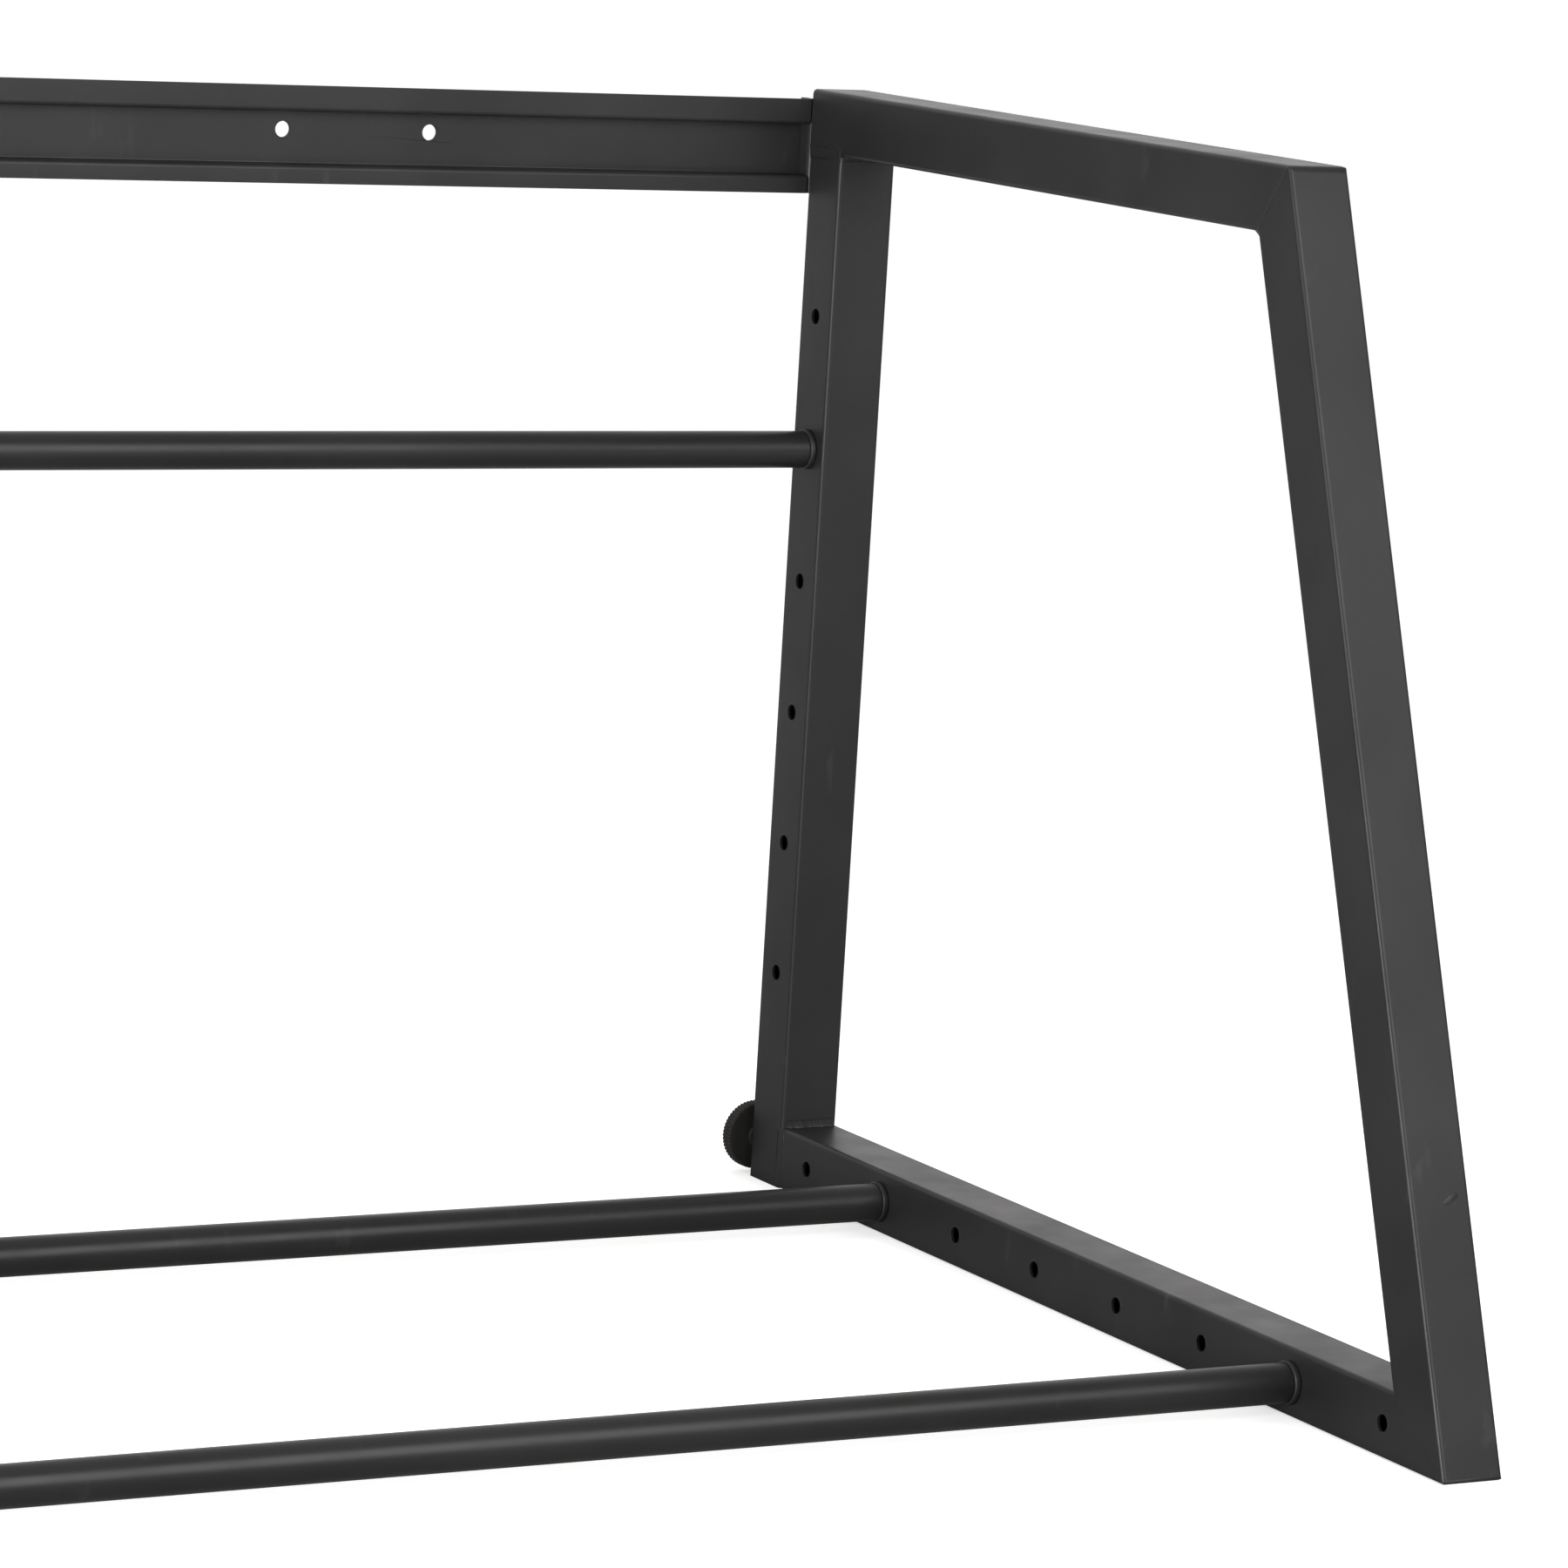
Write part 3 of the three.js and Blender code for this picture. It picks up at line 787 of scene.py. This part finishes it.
def add_bar(name):
    middle, low, high = box_of(f"{name}_bar")
    radius = (high.z - low.z) / 2
    wall, chamfer = BAR["wall"], BAR["chamfer"]
    length = high.x - low.x
    profile = [
        (radius - wall, 0),
        (radius - chamfer, 0),
        (radius, chamfer),
        (radius, length - chamfer),
        (radius - chamfer, length),
        (radius - wall, length),
    ]
    bar = turned_bmesh(profile, 96)
    bmesh.ops.transform(bar, matrix=aim((low.x, middle.y, middle.z), (1, 0, 0)), verts=bar.verts)
    add_piece(f"{name}_bar_skin", bar, "bar_powder_coat", stands_for=[f"{name}_bar"])


def add_plug(name, side, sign):
    """The bar-end plug: a flange with a rounded edge, and a spigot in the bar."""
    node = f"{name}_plug_{side}"
    middle, low, high = box_of(node)
    radius = (high.z - low.z) / 2
    face = high.x if sign > 0 else low.x
    flange, bore, soft = PLUG["flange"], PLUG["bore"], PLUG["soft_edge"]
    length, spigot_radius = PLUG["length"], PLUG["spigot_radius"]
    arc = [math.pi / 2 * i / 4 for i in range(5)]
    profile = [(bore, 0)]
    profile += [(radius - soft + soft * math.sin(a), soft - soft * math.cos(a)) for a in arc]
    profile += [(radius - soft + soft * math.cos(a), flange - soft + soft * math.sin(a)) for a in arc]
    profile += [(spigot_radius, flange), (spigot_radius, length), (bore, length)]
    plug = turned_bmesh(profile, 64)
    bmesh.ops.transform(plug, matrix=aim((face, middle.y, middle.z), (-sign, 0, 0)), verts=plug.verts)
    add_piece(f"{node}_skin", plug, "black_plastic", stands_for=[node])


def add_washer(name, side, sign):
    node = f"{name}_washer_{side}"
    middle, low, high = box_of(node)
    radius = (high.z - low.z) / 2
    thickness = high.x - low.x
    bore, soft = WASHER["bore"], WASHER["soft_edge"]
    profile = [
        (bore, 0),
        (radius - soft / 2, 0),
        (radius, soft / 2),
        (radius, thickness - soft),
        (radius - soft, thickness),
        (bore, thickness),
    ]
    washer = turned_bmesh(profile, 64)
    seat = low.x if sign > 0 else high.x
    bmesh.ops.transform(washer, matrix=aim((seat, middle.y, middle.z), (sign, 0, 0)), verts=washer.verts)
    add_piece(f"{node}_skin", washer, "black_steel", stands_for=[node])


def add_button_bolt(name, side, sign):
    """A button-head bolt with a hexagon socket, its head outside the end frame."""
    node = f"{name}_bolt_{side}"
    middle, low, high = box_of(node)
    head_radius = (high.z - low.z) / 2
    head, shank_radius = BUTTON_BOLT["head"], BUTTON_BOLT["shank_radius"]
    socket_radius, socket_depth = BUTTON_BOLT["socket_radius"], BUTTON_BOLT["socket_depth"]
    tip = head - (high.x - low.x)
    chamfer, soft, rim = 0.8 * MM, 0.3 * MM, 0.8 * MM
    flat_radius = head_radius * 0.5
    round_width = head_radius - flat_radius
    dome = [math.pi / 2 * i / 9 for i in range(10)]
    profile = [(0, tip), (shank_radius - chamfer, tip)]
    profile += [(shank_radius, tip + chamfer), (shank_radius, 0)]
    profile += [(head_radius - soft, 0), (head_radius, soft)]
    profile += [(flat_radius + round_width * math.cos(a), rim + (head - rim) * math.sin(a)) for a in dome]
    profile += [(0, head)]
    socket = prism_bmesh(socket_radius, 6, head - socket_depth, head + socket_depth)
    bolt = combine(turned_bmesh(profile, 64), socket, "DIFFERENCE")
    outer = high.x - head if sign > 0 else low.x + head
    bmesh.ops.transform(bolt, matrix=aim((outer, middle.y, middle.z), (sign, 0, 0)), verts=bolt.verts)
    add_piece(f"{node}_skin", bolt, "black_steel", stands_for=[node])


def add_bracket_bolt(node):
    """A hexagon bolt whose head stands behind the rail bracket, with the usual chamfered crown."""
    middle, low, high = box_of(node)
    head, shank_radius = BRACKET_BOLT["head"], BRACKET_BOLT["shank_radius"]
    corner_radius = BRACKET_BOLT["across_corners"] / 2
    overlap = 1 * MM
    crown = [
        (0, 0),
        (corner_radius * 0.99, 0),
        (corner_radius * 1.02, 0.3 * MM),
        (corner_radius * 1.02, head - 0.75 * MM),
        (corner_radius * 0.83, head),
        (0, head),
    ]
    hexagon = prism_bmesh(corner_radius, 6, -overlap, head + overlap)
    bolt = combine(turned_bmesh(crown, 48), hexagon, "INTERSECT")
    tip = head - (high.y - low.y)
    shank = turned_bmesh([(0, tip), (shank_radius, tip), (shank_radius, overlap), (0, overlap)], 32)
    bolt = combine(bolt, shank, "UNION")
    seat = (middle.x, high.y - head, middle.z)
    bmesh.ops.transform(bolt, matrix=aim(seat, (0, 1, 0)), verts=bolt.verts)
    add_piece(f"{node}_skin", bolt, "zinc_steel", stands_for=[node])


def add_fasteners():
    for bar in BARS:
        add_bar(bar)
        for side, sign in SIDES.items():
            add_plug(bar, side, sign)
            add_washer(bar, side, sign)
            add_button_bolt(bar, side, sign)
    for side in SIDES:
        for number in (1, 2):
            add_bracket_bolt(f"{side}_bracket_bolt_{number}")


# ---- spacers --------------------------------------------------------------------------------------


def add_disc(side):
    """The ribbed disc about its own axis (Z here, turned to +Y), with rounded ribs, rims and pads."""
    node = f"{side}_spacer_disc"
    middle, low, high = box_of(node)
    radius = (high.x - low.x) / 2
    thickness = DISC["thickness"]
    hub_height = (high.y - low.y) - thickness
    steps_per_tooth = 8
    segments = DISC["teeth"] * steps_per_tooth
    # (radius, height, share of the rib's depth), from the hub's bore round to the bore again
    profile = [
        (DISC["bore_radius"], -hub_height, 0),
        (DISC["hub_radius"] - 0.6 * MM, -hub_height, 0),
        (DISC["hub_radius"], -hub_height + 0.6 * MM, 0),
        (DISC["hub_radius"], -0.5 * MM, 0),
        (DISC["hub_radius"] + 0.5 * MM, 0, 0),
        (radius - 4.2 * MM, 0, 0),
        (radius - 1.6 * MM, 0, 0.2),
        (radius - 0.5 * MM, 0.35 * MM, 0.7),
        (radius, 1.1 * MM, 1),
        (radius, thickness - 1.1 * MM, 1),
        (radius - 0.5 * MM, thickness - 0.35 * MM, 0.7),
        (radius - 1.6 * MM, thickness, 0.2),
        (radius * 0.72, thickness, 0),
        (radius * 0.70, thickness - 0.8 * MM, 0),
        (radius * 0.46, thickness - 0.8 * MM, 0),
        (radius * 0.44, thickness, 0),
        (DISC["bore_radius"] + 0.4 * MM, thickness, 0),
        (DISC["bore_radius"], thickness - 0.4 * MM, 0),
    ]
    bm = bmesh.new()
    rings = []
    for ring_radius, height, ribbed in profile:
        ring = []
        for i in range(segments):
            angle = math.tau * i / segments
            groove = 0.5 - 0.5 * math.cos(angle * DISC["teeth"])
            reach = ring_radius - DISC["tooth_depth"] * ribbed * groove**2
            ring.append(bm.verts.new((reach * math.cos(angle), reach * math.sin(angle), height)))
        rings.append(ring)
    for lower, upper in zip(rings, rings[1:] + rings[:1]):
        for i in range(segments):
            j = (i + 1) % segments
            bm.faces.new((lower[i], lower[j], upper[j], upper[i]))
    bmesh.ops.transform(bm, matrix=aim((0, hub_height, 0), (0, 1, 0)), verts=bm.verts)
    place = Matrix.Translation((middle.x, low.y, middle.z))
    add_piece(f"{node}_skin", bm, "ribbed_rubber", f"{side}_spacer_disc_body", [node], place)


def threaded_bmesh(radius, length, pitch, thread_depth, chamfer):
    """A rod about Z with a helical thread, from z = 0 to length, its ends chamfered."""
    segments = 28
    rows_per_turn = 6
    rows = round(length / pitch * rows_per_turn)
    rings = []
    bm = bmesh.new()
    for row in range(rows + 1):
        height = length * row / rows
        ring = []
        for i in range(segments):
            turn = i / segments
            phase = (height / pitch - turn) % 1.0
            groove = 1 - abs(2 * phase - 1)
            from_end = min(height, length - height)
            reach = radius - max(thread_depth * groove, chamfer - from_end)
            angle = math.tau * turn
            ring.append(bm.verts.new((reach * math.cos(angle), reach * math.sin(angle), height)))
        rings.append(ring)
    for lower, upper in zip(rings, rings[1:]):
        for i in range(segments):
            j = (i + 1) % segments
            bm.faces.new((lower[i], lower[j], upper[j], upper[i]))
    bm.faces.new(rings[0])
    bm.faces.new(reversed(rings[-1]))
    return bm


def add_stud(side):
    node = f"{side}_spacer_stud"
    middle, low, high = box_of(node)
    stud = threaded_bmesh((high.x - low.x) / 2, high.y - low.y, **STUD)
    bmesh.ops.transform(stud, matrix=aim((middle.x, low.y, middle.z), (0, 1, 0)), verts=stud.verts)
    add_piece(f"{node}_skin", stud, "zinc_steel", f"{side}_spacer_stud_body", [node])


def add_insert(side):
    """The threaded insert in the leg's rear wall: a thin flange and a body inside the tube."""
    node = f"{side}_spacer_insert"
    middle, low, high = box_of(node)
    flange_radius = (high.x - low.x) / 2
    flange, body_radius, bore = INSERT["flange"], INSERT["body_radius"], INSERT["bore"]
    length = high.y - low.y
    profile = [
        (bore, 0),
        (body_radius, 0),
        (body_radius, length - flange),
        (flange_radius - 0.2 * MM, length - flange),
        (flange_radius, length - flange + 0.2 * MM),
        (flange_radius, length - 0.4 * MM),
        (flange_radius - 0.4 * MM, length),
        (bore + 0.3 * MM, length),
        (bore, length - 0.3 * MM),
    ]
    insert = turned_bmesh(profile, 48)
    bmesh.ops.transform(insert, matrix=aim((middle.x, low.y, middle.z), (0, 1, 0)), verts=insert.verts)
    add_piece(f"{node}_skin", insert, "zinc_steel", stands_for=[node])


def add_spacers():
    for side in SIDES:
        add_disc(side)
        add_stud(side)
        add_insert(side)


# ---- small marks ----------------------------------------------------------------------------------


def lump(name, place, axes, seed):
    """A small uneven bump in the coating: a ball stretched along three axes and pushed in and out."""
    bm = bmesh.new()
    bmesh.ops.create_icosphere(bm, subdivisions=4, radius=1.0)
    for vert in bm.verts:
        vert.co *= 1 + 0.22 * noise.noise(vert.co * 1.3 + Vector((seed, 0, 0)))
    stretch = Matrix([Vector(axis) for axis in axes]).transposed().to_4x4()
    bmesh.ops.transform(bm, matrix=Matrix.Translation(place) @ stretch, verts=bm.verts)
    add_piece(name, bm, "frame_powder_coat")


def add_marks():
    """A run in the coating low on the right front leg, and a grain of weld spatter behind the rear leg."""
    low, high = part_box("right_front_leg")
    top_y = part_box("right_top_rail")[0].y
    lean = math.atan2(top_y - low.y, high.z)
    up_leg = Vector((0, math.sin(lean), math.cos(lean)))
    normal = Vector((0, -math.cos(lean), math.sin(lean)))
    height = COAT_RUN["height"]
    x = (low.x + high.x) / 2 + COAT_RUN["off_centre"]
    place = Vector((x, low.y + math.tan(lean) * height, height))
    along = (Vector((0.86, 0, 0)) + up_leg * 0.5).normalized()
    across = normal.cross(along)
    axes = [axis * size for axis, size in zip((along, across, normal), COAT_RUN["half_sizes"])]
    lump("right_front_leg_coat_run", place, axes, seed=3)

    leg_low, leg_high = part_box("right_rear_leg")
    inset = SPATTER["inset"]
    place = (leg_low.x + inset, leg_high.y - inset, SPATTER["height"])
    axes = Matrix.Diagonal(SPATTER["half_sizes"])
    lump("right_rear_leg_spatter", place, axes, seed=8)


# ---- studio ---------------------------------------------------------------------------------------


def floor_material():
    """A pale floor, which glows a little for camera rays. The rack's own reflections meet it darker, with
    a painted shadow that darkens it most near the rack.
    """
    shader = Shader("pale_floor", specular=0.0)
    middle = shader.tree.nodes.new("ShaderNodeVectorMath")
    middle.operation = "DISTANCE"
    middle.inputs[1].default_value = (*RACK_MIDDLE[:2], 0)
    shader.link(shader.place, middle.inputs[0])
    # painted shadow: in reflections the floor is darkest near the rack's middle and pale further away
    away = shader.remap(middle.outputs["Value"], *FLOOR_REFLECTED["fade"], 0, 1)
    reflected_with_painted_shadow = shader.mix(away, FLOOR_REFLECTED["painted_shadow_near"], FLOOR_REFLECTED["far"])
    to_camera = shader.tree.nodes.new("ShaderNodeLightPath").outputs["Is Camera Ray"]
    shader.colour(shader.mix(to_camera, reflected_with_painted_shadow, FLOOR_SEEN["colour"]))
    glow = shader.remap(to_camera, 0, 1, 0, FLOOR_SEEN["glow"])
    shader.link(glow, shader.surface.inputs["Emission Strength"])
    shader.surface.inputs["Emission Color"].default_value = (1, 1, 1, 1)
    shader.surface.inputs["Roughness"].default_value = 0.9
    return shader.material


def add_floor():
    bm = bmesh.new()
    bmesh.ops.create_circle(bm, cap_ends=True, segments=96, radius=FLOOR_RADIUS)
    mesh = bpy.data.meshes.new("floor")
    bm.to_mesh(mesh)
    bm.free()
    floor = bpy.data.objects.new("floor", mesh)
    bpy.context.scene.collection.objects.link(floor)
    mesh.materials.append(floor_material())


def add_world():
    """A soft studio: bright on one side, and darker away from it."""
    world = bpy.data.worlds.new("studio")
    world.use_nodes = True
    tree = world.node_tree
    background = tree.nodes["Background"]
    place = tree.nodes.new("ShaderNodeTexCoord")
    towards = tree.nodes.new("ShaderNodeVectorMath")
    towards.operation = "DOT_PRODUCT"
    towards.inputs[1].default_value = Vector(WORLD["bright_side"]).normalized()
    strength = tree.nodes.new("ShaderNodeMapRange")
    strength.interpolation_type = "SMOOTHSTEP"
    limits = (*WORLD["fade"], WORLD["dim"], WORLD["bright"])
    for name, limit in zip(("From Min", "From Max", "To Min", "To Max"), limits):
        strength.inputs[name].default_value = limit
    tree.links.new(place.outputs["Generated"], towards.inputs[0])
    tree.links.new(towards.outputs["Value"], strength.inputs["Value"])
    tree.links.new(strength.outputs["Result"], background.inputs["Strength"])
    background.inputs["Color"].default_value = (*WORLD["colour"], 1)
    bpy.context.scene.world = world


def add_light(name, kind, power, place, target, size):
    """A light aimed at a target. size is a softbox's diameter or the sun's angle."""
    light = bpy.data.lights.new(name, kind)
    light.energy = power
    if kind == "AREA":
        light.shape = "DISK"
        light.size = size
    else:
        light.angle = size
    obj = bpy.data.objects.new(name, light)
    aimed = (Vector(target) - Vector(place)).to_track_quat("-Z", "Y").to_matrix().to_4x4()
    obj.matrix_world = Matrix.Translation(place) @ aimed
    bpy.context.scene.collection.objects.link(obj)


def add_lights():
    for name, light in LIGHTS.items():
        add_light(name, **light)


def add_camera():
    camera = bpy.data.cameras.new("camera")
    camera.sensor_width = 36
    camera.lens = CAMERA_LENS
    camera.clip_start = 0.1
    camera.clip_end = 200
    obj = bpy.data.objects.new("camera", camera)
    heading = Matrix.Rotation(math.radians(-CAMERA_HEADING), 4, "Z")
    tilt = Matrix.Rotation(math.radians(90 - CAMERA_TILT), 4, "X")
    roll = Matrix.Rotation(math.radians(CAMERA_ROLL), 4, "Z")
    obj.matrix_world = Matrix.Translation(CAMERA_PLACE) @ heading @ tilt @ roll
    bpy.context.scene.collection.objects.link(obj)
    bpy.context.scene.camera = obj


# ---- the whole scene ------------------------------------------------------------------------------

add_camera()
add_tubes()
add_hole_rims()
add_welds()
add_fasteners()
add_spacers()
add_marks()
add_floor()
add_world()
add_lights()
bpy.context.scene.view_settings.view_transform = "Standard"
